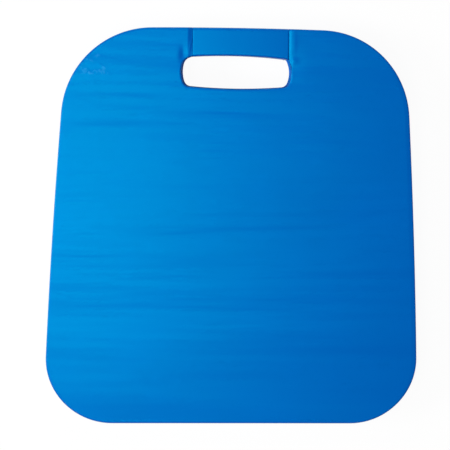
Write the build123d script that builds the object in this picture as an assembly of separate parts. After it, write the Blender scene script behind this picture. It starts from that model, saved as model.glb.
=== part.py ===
from build123d import *
import os

# Balance pad: plies of soft closed-cell foam bonded face to face between two textured
# skins, die cut to a tapered outline with a hand slot near the narrower end. A strip of
# smooth sheet is wrapped tight round the bar above the slot, and squeezes the foam there.
# Millimetres. X runs across the pad, Y towards the handle edge, Z up from the floor.
# The origin is the middle of the footprint.

# Outline: a straight foot end, a handle end and two tapering sides that bow out a little,
# and four round corners
pad_length = 410.0
foot_width = 393.3        # between the side lines where they meet the foot end
handle_width = 339.5      # between the side lines where they meet the handle end
side_bow = 2.8
handle_bow = 3.4
foot_corner_r = 69.0
handle_corner_r = 95.3

# Layers
skin_t = 2.0
ply_t = 15.0
bond_t = 0.25
skin_edge_r = 1.6         # arris of each skin, at the outline and round the slot

# Hand slot: four shallow arcs with rounded corners
slot_width = 111.6
slot_height = 33.55
slot_end_bow = 3.6
slot_side_bow = 2.45
slot_corner_r = 8.0
slot_pinched_r = 4.0      # corner that the wrap's end pulls tighter
slot_eased_r = 10.5       # the other upper corner, pulled wider
slot_pinch = 1.0          # how much lower the pinched corner lies than the eased one
slot_x = -0.9             # centre of the slot, off the pad's middle line
grip_depth = 27.8         # foam between the slot and the handle end

# Grip wrap: a strip that goes once round the grip bar and laps over its own start
wrap_t = 1.5
wrap_recess = 1.2         # from the pad's face down to the wrap's face
wrap_under_recess = 3.0   # the same under the bar, where the lap presses the foam deeper
wrap_ramp = 3.5           # length of the foam's slope at each end of the wrap
wrap_left_inset = 11.3    # from the slot's left end to the wrap's left end
wrap_right_inset = 3.6    # from the slot's right end to the wrap's right end
wrap_corner_r = 3.0
wrap_lap = 12.0           # overlap of the strip's two ends, under the bar
wrap_start_gap = 1.0      # from the strip's start to the step of its other end
lap_bond_t = 0.25

# Layers from the floor up, as name and thickness
layers = [
    ("bottom_skin", skin_t),
    ("bottom_skin_bond", bond_t),
    ("lower_foam_ply", ply_t),
    ("lower_ply_bond", bond_t),
    ("middle_foam_ply", ply_t),
    ("upper_ply_bond", bond_t),
    ("upper_foam_ply", ply_t),
    ("top_skin_bond", bond_t),
    ("top_skin", skin_t),
]

# Places that follow from the sizes
pad_t = sum(thickness for name, thickness in layers)
handle_y = pad_length / 2
slot_y = handle_y - grip_depth - slot_height / 2
wrap_x0 = slot_x - slot_width / 2 + wrap_left_inset
wrap_x1 = slot_x + slot_width / 2 - wrap_right_inset
bar_x0 = wrap_x0 - wrap_ramp
bar_x1 = wrap_x1 + wrap_ramp
bar_z0 = wrap_under_recess + wrap_t
bar_t = pad_t - wrap_recess - wrap_t - bar_z0
lap_y0 = handle_y - grip_depth / 2 - wrap_lap / 2
lap_y1 = lap_y0 + wrap_lap


def block(x0, x1, y0, y1, z0, z1):
    """Box between two corners."""
    return Pos(x0, y0, z0) * Box(x1 - x0, y1 - y0, z1 - z0, align=(Align.MIN,) * 3)


def bowed_plan(corners, bows):
    """Face with four corners, taken clockwise, and the outward bow of the side from each."""
    sides = []
    for i, bow in enumerate(bows):
        ends = corners[i], corners[(i + 1) % 4]
        sides.append(SagittaArc(*ends, bow) if bow else Line(*ends))
    return make_face(sides)


def outline():
    """Plan of the pad without its slot."""
    foot, handle = foot_width / 2, handle_width / 2
    end_y = handle_y - handle_bow
    corners = [(-handle, end_y), (handle, end_y), (foot, -handle_y), (-foot, -handle_y)]
    plan = bowed_plan(corners, [handle_bow, side_bow, 0, side_bow])
    plan = fillet(plan.vertices().group_by(Axis.Y)[0], foot_corner_r)
    handle_corners = [plan.vertices().sort_by_distance(corner)[0] for corner in corners[:2]]
    return fillet(handle_corners, handle_corner_r)


def slot(grow=0.0):
    """Plan of the hand slot, grown by a margin all round."""
    half_x = slot_width / 2 - slot_end_bow
    half_y = slot_height / 2 - slot_side_bow
    rise = slot_pinch / 2
    corners = [(-half_x, half_y + rise), (half_x, half_y - rise), (half_x, -half_y), (-half_x, -half_y)]
    plan = bowed_plan(corners, [slot_side_bow, slot_end_bow] * 2)
    corner_rs = [slot_eased_r, slot_pinched_r, slot_corner_r, slot_corner_r]
    for corner, radius in zip(corners, corner_rs):
        plan = fillet(plan.vertices().sort_by_distance(corner)[0], radius)
    if grow:
        plan = offset(plan, grow)
    return Pos(slot_x, slot_y) * plan


def bar_plan(x0, x1, inset=0.0):
    """Plan of the grip bar between two stations, set in from the handle end and the slot."""
    band = Pos(x0, slot_y) * Rectangle(x1 - x0, grip_depth + slot_height, align=(Align.MIN, Align.MIN))
    return (band & Pos(0, -inset) * outline()) - slot(inset)


def rounded_bar(inset, corner_r):
    """The wrapped stretch of the bar, inset from the wrap's outer face, long edges rounded."""
    bar = extrude(bar_plan(wrap_x0, wrap_x1, inset), bar_t + 2 * (wrap_t - inset))
    bar = Pos(0, 0, wrap_under_recess + inset) * bar
    long_edges = [e for e in bar.edges() if abs(e.tangent_at(0.5).X) > 0.9]
    return fillet(long_edges, corner_r)


def squeezed(z):
    """Height that a level of the free pad comes to under the wrap."""
    return bar_z0 + z * bar_t / pad_t


def bar_layer(z0, z1, core):
    """One layer along the grip bar: full height at both ends and squeezed under the wrap."""
    stations = [bar_x0, wrap_x0, wrap_x1, bar_x1]
    low = list(zip(stations, [z0, squeezed(z0), squeezed(z0), z0]))
    high = list(zip(stations, [z1, squeezed(z1), squeezed(z1), z1]))
    side = make_face(Polyline(*low, *reversed(high), close=True))
    band = extrude(Plane.XZ * side, -pad_length)
    ramps = bar_plan(bar_x0, wrap_x0) + bar_plan(wrap_x1, bar_x1)
    return band & (extrude(ramps, pad_t) + core)


def layer(name, z0, z1, core):
    """One layer of the pad: a die-cut plate whose stretch under the wrap is squeezed."""
    plate = Pos(0, 0, z0) * extrude(outline() - slot(), z1 - z0)
    if name == "bottom_skin":
        plate = fillet(plate.edges().group_by(Axis.Z)[0], skin_edge_r)
    if name == "top_skin":
        plate = fillet(plate.edges().group_by(Axis.Z)[-1], skin_edge_r)
    plate -= block(bar_x0, bar_x1, slot_y, handle_y + grip_depth, z0, z1)
    return plate + bar_layer(z0, z1, core)


def grip_wrap(core):
    """Strip round the bar. Its end steps down under the bar and laps over its start."""
    step_y = lap_y1 + wrap_start_gap
    lap_z1 = wrap_under_recess - lap_bond_t
    lap_z0 = lap_z1 - wrap_t
    strip = rounded_bar(0.0, wrap_corner_r) - core
    strip -= block(wrap_x0, wrap_x1, lap_y1, step_y, wrap_under_recess, bar_z0)
    strip += block(wrap_x0, wrap_x1, lap_y0, step_y, lap_z0, lap_z1)
    strip += block(wrap_x0, wrap_x1, step_y, step_y + wrap_t, lap_z0, bar_z0)
    return strip


def wrap_lap_bond():
    """Adhesive between the strip's start and the end that laps over it."""
    bond_z0 = wrap_under_recess - lap_bond_t
    return block(wrap_x0, wrap_x1, lap_y0, lap_y1, bond_z0, wrap_under_recess)


os.makedirs("parts", exist_ok=True)
bar_core = rounded_bar(wrap_t, wrap_corner_r - wrap_t)
floor = 0.0
for name, thickness in layers:
    export_step(layer(name, floor, floor + thickness, bar_core), f"parts/{name}.step")
    floor += thickness
export_step(grip_wrap(bar_core), "parts/grip_wrap.step")
export_step(wrap_lap_bond(), "parts/wrap_lap_bond.step")
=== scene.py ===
import math

import bmesh
import bpy
import numpy as np
from mathutils import Matrix, Quaternion, Vector, noise
from mathutils.geometry import interpolate_bezier


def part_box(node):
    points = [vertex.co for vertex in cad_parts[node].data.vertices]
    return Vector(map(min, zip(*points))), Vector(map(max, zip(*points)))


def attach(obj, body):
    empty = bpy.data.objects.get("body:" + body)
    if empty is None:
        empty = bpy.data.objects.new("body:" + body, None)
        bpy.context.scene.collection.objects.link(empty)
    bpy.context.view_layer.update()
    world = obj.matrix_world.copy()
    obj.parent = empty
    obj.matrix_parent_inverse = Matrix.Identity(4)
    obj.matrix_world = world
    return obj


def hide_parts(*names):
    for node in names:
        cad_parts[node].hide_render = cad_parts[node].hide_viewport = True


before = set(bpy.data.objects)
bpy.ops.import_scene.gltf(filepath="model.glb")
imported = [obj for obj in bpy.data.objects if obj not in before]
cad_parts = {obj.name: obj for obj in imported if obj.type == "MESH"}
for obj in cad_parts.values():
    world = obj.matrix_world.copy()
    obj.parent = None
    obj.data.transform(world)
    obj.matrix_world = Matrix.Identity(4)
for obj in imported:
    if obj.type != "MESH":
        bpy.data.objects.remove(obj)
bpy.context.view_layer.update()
MM = 0.001

# ---------------------------------------------------------------- foam plies
# Three plies of soft closed-cell foam, bonded into one block and die cut together.
# The cut leaves a matt, porous wall with a slight waist, and the grip wrap squeezes the bar.

SKIN_T, PLY_T, BOND_T = 2.0 * MM, 15.0 * MM, 0.25 * MM
PLY_EDGE = 0.5 * MM         # give of a ply's cut edge beside the bond
PLY_LEVELS, FILM_LEVELS = 9, 2      # rings of points up the cut wall of a ply and of a bond film
CUT_WAIST = 0.9 * MM        # how far the cut wall draws in at half height
SLOT_LEAN = 2.4 * MM        # how far the slot's cut runs over to the right on its way down
LEAN_REACH = 15.0 * MM      # how far from the slot the foam still follows the lean

wrap_low, wrap_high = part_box("grip_wrap")
PAD_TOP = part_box("top_skin")[1].z
HANDLE_Y = wrap_high.y
FOOT_WIDTH, HANDLE_WIDTH = 393.3 * MM, 339.5 * MM
SIDE_BOW, HANDLE_BOW = 2.8 * MM, 3.4 * MM
FOOT_CORNER, HANDLE_CORNER = 69.0 * MM, 95.3 * MM

SLOT_WIDTH, SLOT_HEIGHT = 111.6 * MM, 33.55 * MM
SLOT_END_BOW, SLOT_SIDE_BOW = 3.6 * MM, 2.45 * MM
SLOT_CORNER, SLOT_PINCHED, SLOT_EASED = 8.0 * MM, 4.0 * MM, 10.5 * MM
SLOT_PINCH = 1.0 * MM       # how much lower its upper right corner lies than its upper left
SLOT_X = -0.9 * MM
GRIP_DEPTH = 27.8 * MM
SLOT_Y = HANDLE_Y - GRIP_DEPTH - SLOT_HEIGHT / 2

SKIN_EDGE = 1.6 * MM        # rounding of the skins' arris
COARSE, CREASE_SPACING = 4.0 * MM, 0.3 * MM     # columns over the face and at the wrap's ends
ROW = 1.2 * MM              # row spacing, close enough for the skins' cross ripples
ROW_SKIP = 2                # a ply's wall takes every second row
SIDE_SHARES = (0.8, 0.885)  # where the slot's two long sides meet the pad's sides

WRAP_T = 1.5 * MM
TOP_RECESS = PAD_TOP - wrap_high.z
UNDER_RECESS = wrap_low.z + WRAP_T + BOND_T
LEFT_RAMP, RIGHT_RAMP = 5.5 * MM, 4.5 * MM      # run of the slope from the face to each end
WRAP_CREASE = 0.3 * MM      # run of the step from there to the foam under the wrap
WRAP_GAP = 0.1 * MM         # keeps the wrapped foam just inside the wrap


def rounded_corner(before, corner, after, steps):
    """Points of the curve that rounds a corner between two points on its sides."""
    half_turn = (corner - before).angle(after - corner) / 2
    reach = 4 / 3 * math.tan(half_turn / 2) / math.tan(half_turn)
    knots = (before, before.lerp(corner, reach), after.lerp(corner, reach), after)
    return [p.to_2d() for p in interpolate_bezier(*[k.to_3d() for k in knots], steps)]


def measured_line(points):
    """A line of points, with the share of its length that lies before each."""
    line = np.array([p[:] for p in points])
    gaps = np.linalg.norm(np.diff(line, axis=0), axis=1)
    line = line[np.concatenate([[True], gaps > 1e-9])]
    along = np.concatenate([[0], np.cumsum(gaps[gaps > 1e-9])])
    return along / along[-1], line, along[-1]


def plan_curve(corners, radii, bows, samples=120):
    """A rounded four-cornered plan, as four lines. Each runs from the middle of one corner's
    curve to the middle of the next, and its sides bow outwards."""
    corners = [Vector(c) for c in corners]

    def side(k, t):
        chord = corners[(k + 1) % 4] - corners[k % 4]
        square = Vector((chord.y, -chord.x)).normalized()
        return corners[k % 4] + chord * t + square * bows[k % 4] * 4 * t * (1 - t)

    def cut_back(k):
        arriving, leaving = side(k + 3, 1) - side(k + 3, 0.99), side(k, 0.01) - side(k, 0)
        return radii[k % 4] * math.tan(arriving.angle(leaving) / 2)

    def cut_side(k):
        length = (side(k, 1) - side(k, 0)).length
        first, last = cut_back(k) / length, 1 - cut_back(k + 1) / length
        return [side(k, t) for t in np.linspace(first, last, samples)]

    def corner_curve(k):
        before, after = cut_side(k + 3), cut_side(k)
        a, b = before[-1] - before[-2], after[1] - after[0]
        reach = np.linalg.solve(np.array([a, b]).T, after[0] - before[-1])[0]
        return rounded_corner(before[-1], before[-1] + a * reach, after[0], 2 * samples + 1)

    runs = []
    for k in range(4):
        leaving, arriving = corner_curve(k)[samples:], corner_curve(k + 1)[: samples + 1]
        runs.append(measured_line(leaving + cut_side(k) + arriving))
    return runs


def on_plan(plan, run, share):
    """Point on one of a plan's lines at a share of its length, and the way square to it."""
    shares, line, _ = plan[run]
    reach = 0.002
    places = np.clip([share - reach, share, share + reach], 0, 1)
    before, point, after = [Vector([np.interp(s, shares, line[:, i]) for i in (0, 1)]) for s in places]
    along = (after - before).normalized()
    return point, Vector((along.y, -along.x))


half_foot, half_handle, end_y = FOOT_WIDTH / 2, HANDLE_WIDTH / 2, HANDLE_Y - HANDLE_BOW
OUTLINE = plan_curve(
    [(-half_foot, -HANDLE_Y), (half_foot, -HANDLE_Y), (half_handle, end_y), (-half_handle, end_y)],
    [FOOT_CORNER, FOOT_CORNER, HANDLE_CORNER, HANDLE_CORNER],
    [0, SIDE_BOW, HANDLE_BOW, SIDE_BOW],
)
slot_left, slot_right = [SLOT_X + way * (SLOT_WIDTH / 2 - SLOT_END_BOW) for way in (-1, 1)]
slot_low, slot_high = [SLOT_Y + way * (SLOT_HEIGHT / 2 - SLOT_SIDE_BOW) for way in (-1, 1)]
SLOT = plan_curve(
    [
        (slot_left, slot_low), (slot_right, slot_low),
        (slot_right, slot_high - SLOT_PINCH / 2), (slot_left, slot_high + SLOT_PINCH / 2),
    ],
    [SLOT_CORNER, SLOT_CORNER, SLOT_PINCHED, SLOT_EASED],
    [SLOT_SIDE_BOW, SLOT_END_BOW, SLOT_SIDE_BOW, SLOT_END_BOW],
)


def smooth(low, high, value):
    """0 below low, 1 above high, and an even curve between."""
    t = min(max((value - low) / (high - low), 0), 1)
    return t * t * (3 - 2 * t)


def held(x, y, left_run, right_run, ease=1):
    """1 under the grip wrap, falling to 0 over a run past each end, and 0 beyond the slot. More
    ease on the right steepens the fall beside the wrap."""
    rise = smooth(wrap_low.x - left_run, wrap_low.x, x)
    fall = (1 - smooth(wrap_high.x, wrap_high.x + right_run, x)) ** ease
    return rise * fall * smooth(SLOT_Y + 2 * MM, SLOT_Y + 9 * MM, y)


def tucked(x, y):
    """How far the foam is pressed in from every side under the strip itself."""
    return (WRAP_T + WRAP_GAP) * held(x, y, WRAP_CREASE, WRAP_CREASE)


def squeezed(x, y, z):
    """Height that a level of the free foam comes to on the squeezed grip bar."""
    slope, step = held(x, y, LEFT_RAMP, RIGHT_RAMP, 2), tucked(x, y)
    from_above, from_below = TOP_RECESS * slope + step, UNDER_RECESS * slope + step
    return z + from_below * (1 - z / PAD_TOP) - from_above * z / PAD_TOP


def leaned(x, y, z):
    """Where a point stands across the pad. The slot's cut leans, and the foam beside it follows."""
    past_end = max(abs(x - SLOT_X) - SLOT_WIDTH / 2, 0)
    past_side = max(abs(y - SLOT_Y) - SLOT_HEIGHT / 2, 0)
    near = 1 - smooth(0, LEAN_REACH, math.hypot(past_end, past_side))
    return x + SLOT_LEAN * (1 - z / PAD_TOP) * near


def spaced(start, end, spacing):
    """Shares of the way from start to end, as far apart as spacing says at each place."""
    places = [start]
    while places[-1] < end:
        places.append(places[-1] + spacing(places[-1]))
    return (np.array(places) - start) / (places[-1] - start)


def column_spacing(x):
    """Close columns beside the wrap's ends, where the foam is squeezed and folded."""
    near = min(abs(x - wrap_low.x), abs(x - wrap_high.x))
    return CREASE_SPACING + (COARSE - CREASE_SPACING) * smooth(3 * MM, 30 * MM, near) ** 1.5


def plan_of_layers():
    """Plan of every layer as a grid of points, and at its edges the place on the wall and the
    way into the foam. It is three blocks by three, and the slot takes the middle one's place."""
    left_x, right_x = SLOT[0][1][0, 0], SLOT[0][1][-1, 0]
    ends = {run: OUTLINE[run][2] / 2 for run in (0, 2)}
    blocks = [(-ends[2], left_x), (left_x, right_x), (right_x, ends[2])]
    across = [spaced(*block, column_spacing) for block in blocks]
    low_y, high_y = SLOT[1][1][0, 1], SLOT[1][1][-1, 1]
    blocks = [(-HANDLE_Y, low_y), (low_y, high_y), (high_y, HANDLE_Y)]
    along = [spaced(*block, lambda y: ROW) for block in blocks]
    columns = np.concatenate([[0], np.cumsum([len(a) - 1 for a in across])])
    rows = np.concatenate([[0], np.cumsum([len(a) - 1 for a in along])])
    points = np.zeros((columns[3] + 1, rows[3] + 1, 2))
    edge = {}

    def keep(i, j, plan, run, share, side):
        point, square = on_plan(plan, run, share)
        edge[i, j] = point.to_3d(), (square * side).to_3d()
        points[i, j] = point + square * side * SKIN_EDGE

    for b in range(3):
        for n, share in enumerate(across[b]):
            i = columns[b] + n
            for run, j, way in ((0, 0, 1), (2, rows[3], -1)):
                stops = -ends[run], left_x, right_x, ends[run]
                x = stops[b] + share * (stops[b + 1] - stops[b])
                keep(i, j, OUTLINE, run, 0.5 + way * x / ends[run] / 2, -1)
            if b == 1:
                keep(i, rows[1], SLOT, 0, share, 1)
                keep(i, rows[2], SLOT, 2, 1 - share, 1)
        stops = 0, *SIDE_SHARES, 1
        for n, share in enumerate(along[b]):
            j = rows[b] + n
            up = stops[b] + share * (stops[b + 1] - stops[b])
            keep(0, j, OUTLINE, 3, 1 - up, -1)
            keep(columns[3], j, OUTLINE, 1, up, -1)
            if b == 1:
                keep(columns[1], j, SLOT, 3, 1 - share, 1)
                keep(columns[2], j, SLOT, 1, share, 1)

    def straight(i0, i1, j0, j1, shares):
        a, b = points[i0, j0].copy(), points[i1, j1].copy()
        target = points[i0 : i1 + 1, j0] if j0 == j1 else points[i0, j0 : j1 + 1]
        target[:] = a + (b - a) * shares[:, None]

    for b in (0, 2):
        for j in rows[1:3]:
            straight(columns[b], columns[b + 1], j, j, across[b])
        for i in columns[1:3]:
            straight(i, i, rows[b], rows[b + 1], along[b])

    for a in range(3):
        for b in range(3):
            if a == b == 1:
                continue
            block = points[columns[a] : columns[a + 1] + 1, rows[b] : rows[b + 1] + 1]
            s, t = across[a][:, None, None], along[b][None, :, None]
            low, high, left, right = block[:, :1], block[:, -1:], block[:1], block[-1:]
            sides = low * (1 - t) + high * t + left * (1 - s) + right * s
            corners = (low[:1] * (1 - s) + low[-1:] * s) * (1 - t)
            corners = corners + (high[:1] * (1 - s) + high[-1:] * s) * t
            block[1:-1, 1:-1] = (sides - corners)[1:-1, 1:-1]
    return points, edge, columns, rows


points, edge, columns, rows = plan_of_layers()


def wall_values(bm):
    """Two values kept at each point of a wall: its place on the plan and the way into the foam."""
    values = bm.verts.layers.float_vector
    if "place" not in values:
        values.new("place"), values.new("inward")
    return values["place"], values["inward"]


def set_on_wall(bm, verts, inset, z):
    """Sets points of the outline or the slot a little way into the foam, at a height."""
    place, inward = wall_values(bm)
    for v in verts:
        x, y, _ = v[place]
        x = leaned(x, y, z)
        depth = inset + CUT_WAIST * math.sin(math.pi * z / PAD_TOP) ** 2
        v.co = Vector((x, y, z)) + v[inward] * (depth + tucked(x, y))


def raise_wall(bm, edges, steps):
    """Draws a wall on from a ring of edges through steps of inset and height."""
    for inset, z in steps:
        made = bmesh.ops.extrude_edge_only(bm, edges=edges)["geom"]
        edges = [e for e in made if isinstance(e, bmesh.types.BMEdge)]
        set_on_wall(bm, {v for e in edges for v in e.verts}, inset, z)
    return edges


def ring(i0, i1, j0, j1):
    """Keys of the plan's points once round the edge between two columns and two rows."""
    keys = [(i, j0) for i in range(i0, i1)] + [(i1, j) for j in range(j0, j1, ROW_SKIP)]
    return keys + [(i, j1) for i in range(i1, i0, -1)] + [(i0, j) for j in range(j1, j0, -ROW_SKIP)]


def cut_rings(bm):
    """The outline and the slot as two rings of edges."""
    place, inward = wall_values(bm)
    for keys in (ring(0, columns[3], 0, rows[3]), ring(*columns[1:3], *rows[1:3])):
        verts = bmesh.ops.create_circle(bm, segments=len(keys), radius=1)["verts"]
        for v, key in zip(verts, keys):
            v[place], v[inward] = edge[key]
    return bm.edges[:]


def finished_piece(bm, name, material):
    """Makes a smooth-shaded object of a bmesh, with its faces outwards, riding on the pad."""
    bmesh.ops.recalc_face_normals(bm, faces=bm.faces)
    mesh = bpy.data.meshes.new(name)
    bm.to_mesh(mesh)
    bm.free()
    mesh.shade_smooth()
    mesh.materials.append(material)
    piece = bpy.data.objects.new(name, mesh)
    bpy.context.scene.collection.objects.link(piece)
    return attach(piece, "root")


def cut_layer(name, low, thickness, give, levels, material):
    """A layer of the block as a closed solid: two faces, and the die-cut wall between them. Its
    cut edges give way a little beside the bonds."""
    high = low + thickness
    eased = 0.3 * give
    bm = bmesh.new()
    bottom = cut_rings(bm)
    set_on_wall(bm, bm.verts, give, low)
    steps = [(eased, low + eased)]
    steps += [(0, z) for z in np.linspace(low + give, high - give, levels)]
    steps += [(eased, high - eased), (give, high)]
    top = raise_wall(bm, bottom, steps)
    for rim_edges in (bottom, top):
        bmesh.ops.triangle_fill(bm, use_beauty=True, edges=rim_edges, normal=(0, 0, 1))
    for v in bm.verts:
        v.co.z = squeezed(v.co.x, v.co.y, v.co.z)
    return finished_piece(bm, name, material)


def add_node(tree, kind, links=(), **values):
    """Adds a shader node, sets its properties and inputs by name, and links other sockets in."""
    made = tree.nodes.new(kind)
    for name, value in values.items():
        if hasattr(made, name):
            setattr(made, name, value)
        else:
            made.inputs[name.replace("_", " ")].default_value = value
    for name, source in dict(links).items():
        tree.links.new(source, made.inputs[name])
    return made


def surface(name, colour, roughness, **values):
    """A material of one Principled shader, with further inputs by name, and with the object's own
    coordinates to hand."""
    material = bpy.data.materials.new(name)
    material.use_nodes = True
    tree = material.node_tree
    shader = tree.nodes["Principled BSDF"]
    shader.inputs["Base Color"].default_value = (*colour, 1)
    shader.inputs["Roughness"].default_value = roughness
    for key, value in values.items():
        shader.inputs[key.replace("_", " ")].default_value = value
    return material, tree, shader, add_node(tree, "ShaderNodeTexCoord").outputs["Object"]


def cut_foam():
    """Matt cut through closed cells: fine pits, a few larger ones painted darker towards their bottoms as
    painted shade, and faint knife drag.
    """
    material, tree, shader, place = surface(
        "cut_foam", (0.0, 0.10, 0.42), 0.85, Specular_IOR_Level=0.1, Specular_Tint=(0.0, 0.7, 1.0, 1)
    )
    cells = add_node(tree, "ShaderNodeTexVoronoi", {"Vector": place}, Scale=1500.0)
    pits = add_node(tree, "ShaderNodeTexVoronoi", {"Vector": place}, Scale=420.0)
    open_pits = add_node(tree, "ShaderNodeMapRange", {"Value": pits.outputs["Distance"]}, From_Max=0.32)
    stretch = add_node(tree, "ShaderNodeMapping", {"Vector": place}, Scale=(160.0, 160.0, 2200.0))
    drag = add_node(tree, "ShaderNodeTexNoise", {"Vector": stretch.outputs[0]}, Scale=1.0, Detail=3.0)
    pitted = add_node(
        tree, "ShaderNodeMath", {0: cells.outputs["Distance"], 1: open_pits.outputs[0]}, operation="ADD"
    )
    height = add_node(tree, "ShaderNodeMath", {0: pitted.outputs[0], 1: drag.outputs[0]}, operation="ADD")
    bump = add_node(tree, "ShaderNodeBump", {"Height": height.outputs[0]}, Strength=0.5, Distance=0.2 * MM)
    tree.links.new(bump.outputs[0], shader.inputs["Normal"])
    # painted shade: the colour darkens towards the bottoms of the larger pits
    shades = add_node(tree, "ShaderNodeValToRGB", {"Fac": open_pits.outputs[0]})
    shades.color_ramp.elements[0].color = (0.0, 0.085, 0.36, 1)
    shades.color_ramp.elements[1].color = (0.0, 0.17, 0.60, 1)
    tree.links.new(shades.outputs[0], shader.inputs["Base Color"])
    return material


foam = cut_foam()
for i, ply in enumerate(("lower", "middle", "upper")):
    low = SKIN_T + BOND_T + i * (PLY_T + BOND_T)
    block = cut_layer(f"{ply}_foam", low, PLY_T, PLY_EDGE, PLY_LEVELS, foam)
    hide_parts(f"{ply}_foam_ply")

# ---------------------------------------------------------------- bond films
# Thin films of adhesive between the plies and under both skins. They show only as
# fine darker lines at the bottom of the grooves between the layers.

def adhesive_film():
    """Dried contact adhesive: darker than the foam, with a low uneven sheen."""
    material, tree, shader, place = surface("adhesive_film", (0.0, 0.05, 0.24), 0.5)
    streaks = add_node(tree, "ShaderNodeTexNoise", {"Vector": place}, Scale=260.0, Detail=4.0)
    sheen = add_node(tree, "ShaderNodeMapRange", {"Value": streaks.outputs[0]}, To_Min=0.35, To_Max=0.75)
    tree.links.new(sheen.outputs[0], shader.inputs["Roughness"])
    bump = add_node(tree, "ShaderNodeBump", {"Height": streaks.outputs[0]}, Strength=0.3, Distance=0.1 * MM)
    tree.links.new(bump.outputs[0], shader.inputs["Normal"])
    return material


film = adhesive_film()
for i, layer in enumerate(("bottom_skin", "lower_ply", "upper_ply", "top_skin")):
    low = SKIN_T + i * (PLY_T + BOND_T)
    glue = cut_layer(f"{layer}_glue", low, BOND_T, 0.0, FILM_LEVELS, film)
    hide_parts(f"{layer}_bond")

# ---------------------------------------------------------------- skins
# Top and bottom sheets of denser foam with a leathery embossed face. The foaming belt
# left fine cross ripples, and the tight grip wrap pulls folds into the face at its ends.

SKIN_BLUE = (0.0, 0.080, 0.445)
# painted light: the skins' arris and cut edge are coloured paler than the face, lifting the shade that
# falls where the arris turns away from the light
ARRIS_LIFT_BLUE = (0.006, 0.13, 0.46)
# painted highlight: a paler blue laid on the tops of the small crumples on the left handle corner, standing
# in for glints
GLINT_PAINT_BLUE = (0.03, 0.19, 0.62)
SATIN = {"Specular_Tint": (0.0, 0.95, 1.0, 1), "Specular_IOR_Level": 1.0}
CRUMPLE_PLACE, CRUMPLE_REACH = (-151 * MM, 164 * MM, PAD_TOP), 42 * MM
BACK_EDGE = 0.15 * MM       # give of a skin's cut edge at its back
ARRIS_LIFT_REACH = 0.8 * SKIN_EDGE         # depth down the arris at which its colour is fully the paler blue painted on to lift the arris's shade
FINE_RIPPLE, BAND, SWELL = 0.14, 0.45, 0.9      # heights of the face's relief, in millimetres
SWELL_ALLOWANCE = 0.6 * MM  # keeps the ripples and swells within the pad's thickness


def waves(x, y, width, length, seed):
    """Smooth noise from -1 to 1 over the face, in patches of a width and a length in millimetres."""
    return noise.noise(Vector((x / (width * MM), y / (length * MM), seed)))


def ripples(x, y, seed):
    """Fine cross ripples of uneven strength and broader bands, both fainter towards the foot, over
    slow swells down the pad."""
    strength = 0.7 + 1.1 * waves(x, y, 60, 38, seed)
    fine = waves(x, y, 38, 2.6, seed + 3)
    bands = waves(x, y, 120, 9, seed + 5)
    swell = waves(x, y, 300, 34, seed + 7)
    foot_fade = 0.2 + 0.8 * smooth(-170 * MM, 0, y)
    return ((FINE_RIPPLE * fine * max(strength, 0.1) + BAND * bands) * foot_fade + SWELL * swell) * MM


def bump_at(x, y, centre, size):
    """1 at a centre, falling away smoothly over a width and a length. All in millimetres."""
    u = (x / MM - centre[0]) / size[0]
    v = (y / MM - centre[1]) / size[1]
    return math.exp(-u * u - v * v)


def pulled_folds(x, y):
    """What the tight wrap does to the face beside it: a sunk pucker and a small crease past its
    left end, and past its right end a knuckle, a lip, small cross folds and a broad dip."""
    left, right, top = wrap_low.x / MM, wrap_high.x / MM, HANDLE_Y / MM
    lean = left - 10.4 + 0.02 * (y / MM - top + 24.5)
    sunk = smooth(lean - 6.5, lean + 1.2, x / MM) ** 2 * (1 - smooth(lean + 1, left + 3, x / MM))
    pucker = sunk * math.exp(-(((y / MM - top + 27) / 7) ** 2)) * 1.1
    dip = bump_at(x, y, (right, top - 38), (12, 15)) * 1.0
    crease = bump_at(x, y, (left - 2.2 + 0.17 * (y / MM - top + 18), top - 18), (1.1, 5.0)) * 0.3
    knuckle = bump_at(x, y, (right + 5.2, top - 32.5), (1.3 if x / MM < right + 5.2 else 5.0, 3.4)) * 0.7
    lip = bump_at(x, y, (right + 6.0, top - 13), (2.4, 12)) * 0.2
    folds = math.sin((top - y / MM) * 1.8) * bump_at(x, y, (right + 15, top - 11), (13, 5)) * 0.1
    return (crease + knuckle + lip + folds - pucker - dip) * MM


def skin_sheet(name, facing, seed, material):
    """One skin as a closed solid: its rippled face, its rounded arris, its cut edge and its back."""
    bm = bmesh.new()
    bmesh.ops.create_grid(bm, x_segments=int(columns[3]), y_segments=int(rows[3]), size=1)
    place, inward = wall_values(bm)
    arris_lift = bm.verts.layers.float.new("arris_lift")
    face_z = PAD_TOP if facing > 0 else 0
    in_slot = []
    for f in bm.faces:
        x, y = ((c + 1) / 2 for c in f.calc_center_median().xy)
        if columns[1] < x * columns[3] < columns[2] and rows[1] < y * rows[3] < rows[2]:
            in_slot.append(f)
    for v in bm.verts:
        i, j = round((v.co.x + 1) / 2 * columns[3]), round((v.co.y + 1) / 2 * rows[3])
        if (i, j) in edge:
            v[place], v[inward] = edge[i, j]
        x, y = points[i, j]
        v.co = (leaned(x, y, face_z), y, face_z)
    bmesh.ops.delete(bm, geom=in_slot, context="FACES")
    steps = []
    for turn in np.radians([22.5, 45, 67.5, 90]):
        steps.append((SKIN_EDGE * (1 - math.sin(turn)), SKIN_EDGE * (1 - math.cos(turn))))
    steps += [(0, SKIN_T - BACK_EDGE), (BACK_EDGE, SKIN_T)]
    steps = [(inset, face_z - facing * depth) for inset, depth in steps]
    back = raise_wall(bm, [e for e in bm.edges if e.is_boundary], steps)
    bmesh.ops.triangle_fill(bm, use_beauty=True, edges=back, normal=(0, 0, 1))
    for v in bm.verts:
        x, y, z = v.co
        depth = abs(face_z - z)
        # painted light: share of the paler arris blue, which lifts the shade on the arris
        v[arris_lift] = smooth(0, ARRIS_LIFT_REACH, depth)
        relief = min(ripples(x, y, seed) + pulled_folds(x, y) - SWELL_ALLOWANCE, 0)
        v.co.z = squeezed(x, y, z + facing * relief * (1 - smooth(0, SKIN_T, depth)))
    return finished_piece(bm, name, material)


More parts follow.
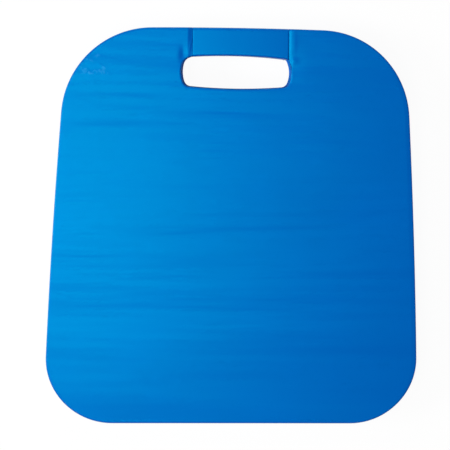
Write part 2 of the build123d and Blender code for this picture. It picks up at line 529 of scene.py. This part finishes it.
def spot(tree, place, centre, reach):
    """A mask that is 1 at a spot on the face and fades to 0 at its reach."""
    away = add_node(tree, "ShaderNodeVectorMath", {0: place}, operation="DISTANCE")
    away.inputs[1].default_value = centre
    return add_node(
        tree, "ShaderNodeMapRange", {"Value": away.outputs["Value"]},
        interpolation_type="SMOOTHSTEP", From_Min=reach, From_Max=0.2 * reach,
    ).outputs[0]


def skin_foam():
    """Dense foam skin: satin, with leathery grain, finer cross lines than the mesh holds, and
    a patch of small crumples on the pad's left handle corner, their tops painted paler as a painted
    highlight."""
    material, tree, shader, place = surface("skin_foam", SKIN_BLUE, 0.46, **SATIN)
    stretch = add_node(tree, "ShaderNodeMapping", {"Vector": place}, Scale=(22.0, 620.0, 100.0))
    lines = add_node(tree, "ShaderNodeTexNoise", {"Vector": stretch.outputs[0]}, Scale=1.0, Detail=4.0)
    grain = add_node(tree, "ShaderNodeTexVoronoi", {"Vector": place}, Scale=900.0)
    both = add_node(tree, "ShaderNodeMix", {2: lines.outputs[0], 3: grain.outputs["Distance"]}, Factor=0.3)
    fine = add_node(tree, "ShaderNodeBump", {"Height": both.outputs[0]}, Strength=0.25, Distance=0.12 * MM)
    warp = add_node(tree, "ShaderNodeTexNoise", {"Vector": place}, Scale=130.0, Detail=2.0)
    crumple = add_node(
        tree, "ShaderNodeTexNoise", {"Vector": place}, Scale=190.0, Detail=4.0, Distortion=1.5
    )
    patch = spot(tree, place, CRUMPLE_PLACE, CRUMPLE_REACH)
    broken = add_node(tree, "ShaderNodeMapRange", {"Value": warp.outputs[0]}, From_Min=0.45, From_Max=0.65)
    where = add_node(tree, "ShaderNodeMath", {0: patch, 1: broken.outputs[0]}, operation="MULTIPLY")
    height = add_node(
        tree, "ShaderNodeMath", {0: crumple.outputs[0], 1: where.outputs[0]}, operation="MULTIPLY"
    )
    bump = add_node(
        tree, "ShaderNodeBump", {"Height": height.outputs[0], "Normal": fine.outputs[0]},
        Strength=0.8, Distance=0.25 * MM,
    )
    tree.links.new(bump.outputs[0], shader.inputs["Normal"])
    cloud = add_node(tree, "ShaderNodeTexNoise", {"Vector": place}, Scale=14.0, Detail=5.0)
    shades = add_node(tree, "ShaderNodeValToRGB", {"Fac": cloud.outputs[0]})
    shades.color_ramp.elements[0].color = (*[0.94 * c for c in SKIN_BLUE], 1)
    shades.color_ramp.elements[1].color = (*[1.06 * c for c in SKIN_BLUE], 1)
    # painted highlight: the crumple tops are coloured paler, standing in for glints
    painted_glints = add_node(tree, "ShaderNodeMapRange", {"Value": height.outputs[0]}, From_Min=0.3, From_Max=0.9)
    with_painted_glints = add_node(tree, "ShaderNodeMix", {"Factor": painted_glints.outputs[0]}, data_type="RGBA")
    tree.links.new(shades.outputs[0], with_painted_glints.inputs[6])
    with_painted_glints.inputs[7].default_value = (*GLINT_PAINT_BLUE, 1)
    # painted light: the arris and cut edge take a paler blue that lifts their shade
    arris_lift = add_node(tree, "ShaderNodeAttribute", attribute_name="arris_lift").outputs["Fac"]
    with_arris_lift = add_node(tree, "ShaderNodeMix", {"Factor": arris_lift}, data_type="RGBA")
    tree.links.new(with_painted_glints.outputs[2], with_arris_lift.inputs[6])
    with_arris_lift.inputs[7].default_value = (*ARRIS_LIFT_BLUE, 1)
    tree.links.new(with_arris_lift.outputs[2], shader.inputs["Base Color"])
    return material


embossed = skin_foam()
for node, facing, seed in (("bottom_skin", -1, 40.0), ("top_skin", 1, 11.0)):
    sheet = skin_sheet(f"{node}_sheet", facing, seed, embossed)
    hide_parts(node)

# ---------------------------------------------------------------- grip wrap
# A strip of smooth sheet pulled once round the grip bar, its end lapped over its start
# under the bar. It squeezes the foam, so it lies below the face, fullest at mid length.

WRAP_CORNER = 2.2 * MM      # outer rounding where the strip turns over the bar's edges
WRAP_CROWN = 0.7 * MM       # how much fuller the wrap stands at mid length than at its ends
LAP_STEP = 1.0 * MM         # from the strip's start to the step in its other end
WRAP_COLUMNS, WRAP_ROWS = 64, 190

lap_low, lap_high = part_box("wrap_lap_bond")


def strip_section(x):
    """Middle line of the strip across the bar at one station, from its start to its lapped end."""
    half = WRAP_T / 2
    share = (x - wrap_low.x) / (wrap_high.x - wrap_low.x)
    crown = WRAP_CROWN * (1 - abs(2 * share - 1) ** 2.6)
    slot_side, pad_end = SLOT[2][1][::-1], OUTLINE[2][1][::-1]
    near = np.interp(x, slot_side[:, 0], slot_side[:, 1]) + half
    far = np.interp(x, pad_end[:, 0], pad_end[:, 1]) - half
    low, high = UNDER_RECESS + half, PAD_TOP - TOP_RECESS + crown - half
    under = low - BOND_T - WRAP_T
    step = lap_high.y + LAP_STEP
    turns = [(near, low), (near, high), (far, high), (far, low), (step + WRAP_T, low), (step, under)]
    radii = [WRAP_CORNER - half] * 4 + [0.6 * MM] * 2
    stops = [Vector((lap_high.y, low))] + [Vector(t) for t in turns] + [Vector((lap_low.y, under))]
    line = [stops[0]]
    for before, turn, after, radius in zip(stops, stops[1:], stops[2:], radii):
        cut = radius * math.tan((turn - before).angle(after - turn) / 2)
        start, end = turn + (before - turn).normalized() * cut, turn + (after - turn).normalized() * cut
        line += rounded_corner(start, turn, end, 12)
    return measured_line(line + [stops[-1]])


def wrapped_strip(material):
    """The strip as a sheet with thickness and softened edges, and its length round the bar."""
    bm = bmesh.new()
    bmesh.ops.create_grid(bm, x_segments=WRAP_COLUMNS, y_segments=WRAP_ROWS, size=1)
    width = wrap_high.x - wrap_low.x
    stations = [wrap_low.x + width * i / WRAP_COLUMNS for i in range(WRAP_COLUMNS + 1)]
    sections = [strip_section(x) for x in stations]
    for v in bm.verts:
        i = round((v.co.x + 1) / 2 * WRAP_COLUMNS)
        share = (v.co.y + 1) / 2
        shares, line, _ = sections[i]
        y, z = (np.interp(share, shares, line[:, k]) for k in (0, 1))
        v.co = (stations[i], y, z)
    piece = finished_piece(bm, "grip_wrap_strip", material)
    thick = piece.modifiers.new("thickness", "SOLIDIFY")
    thick.thickness, thick.offset = WRAP_T, 0
    soft = piece.modifiers.new("soft edges", "BEVEL")
    soft.width, soft.segments, soft.limit_method = 0.4 * MM, 3, "ANGLE"
    return piece, max(length for _, _, length in sections)


def smooth_wrap():
    """Smooth satin sheet with the faintest drawn lines round the bar."""
    material, tree, shader, place = surface("smooth_wrap", SKIN_BLUE, 0.44, **SATIN)
    stretch = add_node(tree, "ShaderNodeMapping", {"Vector": place}, Scale=(90.0, 12.0, 12.0))
    drawn = add_node(tree, "ShaderNodeTexNoise", {"Vector": stretch.outputs[0]}, Scale=1.0, Detail=3.0)
    bump = add_node(tree, "ShaderNodeBump", {"Height": drawn.outputs[0]}, Strength=0.2, Distance=0.3 * MM)
    tree.links.new(bump.outputs[0], shader.inputs["Normal"])
    return material


wrap, strip_length = wrapped_strip(smooth_wrap())
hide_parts("grip_wrap")

lap_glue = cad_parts["wrap_lap_bond"]
lap_glue.data.materials.clear()
lap_glue.data.materials.append(film)

# ---------------------------------------------------------------- floor, light and camera
# A plain white floor under three soft lights: one above, one from the left and one from
# past the handle. The camera is nearly straight above the hand slot.

FLOOR_SIZE = 14.0
FLOOR_WHITE = 0.95          # share of plain white in the floor that the camera sees


def white_floor():
    """White to the camera and in reflections, with the pad's soft shadow left in it."""
    material, tree, shader, _ = surface("white_floor", (0.92, 0.92, 0.92), 0.9)
    rays = add_node(tree, "ShaderNodeLightPath").outputs
    seen = rays["Is Camera Ray"]
    for kind in ("Is Glossy Ray", "Is Transmission Ray"):
        seen = add_node(tree, "ShaderNodeMath", {0: seen, 1: rays[kind]}, operation="MAXIMUM").outputs[0]
    share = add_node(tree, "ShaderNodeMath", {0: seen}, operation="MULTIPLY")
    share.inputs[1].default_value = FLOOR_WHITE
    white = add_node(tree, "ShaderNodeEmission", Strength=1.0)
    mixed = add_node(
        tree, "ShaderNodeMixShader", {0: share.outputs[0], 1: shader.outputs[0], 2: white.outputs[0]}
    )
    tree.links.new(mixed.outputs[0], tree.nodes["Material Output"].inputs["Surface"])
    return material


bm = bmesh.new()
bmesh.ops.create_grid(bm, x_segments=1, y_segments=1, size=FLOOR_SIZE / 2)
floor_mesh = bpy.data.meshes.new("floor")
bm.to_mesh(floor_mesh)
bm.free()
floor_mesh.materials.append(white_floor())
floor = bpy.data.objects.new("floor", floor_mesh)
bpy.context.scene.collection.objects.link(floor)


def soft_light(name, sizes, power, place, aim):
    """A rectangular area light at a place, facing an aim."""
    data = bpy.data.lights.new(name, "AREA")
    data.shape = "RECTANGLE"
    data.size, data.size_y = sizes
    data.energy = power
    lamp = bpy.data.objects.new(name, data)
    lamp.location = place
    lamp.rotation_mode = "QUATERNION"
    lamp.rotation_quaternion = (Vector(aim) - Vector(place)).to_track_quat("-Z", "Y")
    bpy.context.scene.collection.objects.link(lamp)


soft_light("key_above", (0.7, 0.4), 8.8, (-0.3, -0.09, 1.25), (0, -0.09, 0))
soft_light("low_left", (0.6, 0.6), 27.0, (-1.6, 0.0, 1.3), (0, 0, 0))
soft_light("past_handle", (0.6, 0.6), 7.0, (-0.2, 1.7, 0.8), (0, 0.1, 0))

world = bpy.data.worlds.new("studio")
world.use_nodes = True
bpy.context.scene.world = world
backdrop = world.node_tree.nodes["Background"]
backdrop.inputs["Color"].default_value = (1, 1, 1, 1)
rays = add_node(world.node_tree, "ShaderNodeLightPath").outputs["Is Camera Ray"]
strength = add_node(world.node_tree, "ShaderNodeMapRange", {"Value": rays}, To_Min=0.15, To_Max=1.0)
world.node_tree.links.new(strength.outputs[0], backdrop.inputs["Strength"])

EYE, AIM = Vector((-0.0702, 0.1603, 1.2405)), Vector((-0.0101, 0.0052, PAD_TOP))
CAMERA_TILT = math.radians(0.89)
FOCAL_LENGTH, SENSOR_WIDTH = 93.76, 36      # millimetres, as the lens takes them

lens = bpy.data.cameras.new("camera")
lens.lens, lens.sensor_width = FOCAL_LENGTH, SENSOR_WIDTH
camera = bpy.data.objects.new("camera", lens)
camera.location = EYE
camera.rotation_mode = "QUATERNION"
look = (AIM - EYE).normalized()
right = look.cross((0, 1, 0)).normalized()
level = Matrix((right, right.cross(look), -look)).transposed().to_quaternion()
camera.rotation_quaternion = level @ Quaternion((0, 0, 1), CAMERA_TILT)
bpy.context.scene.collection.objects.link(camera)
bpy.context.scene.camera = camera
bpy.context.scene.view_settings.view_transform = "Standard"
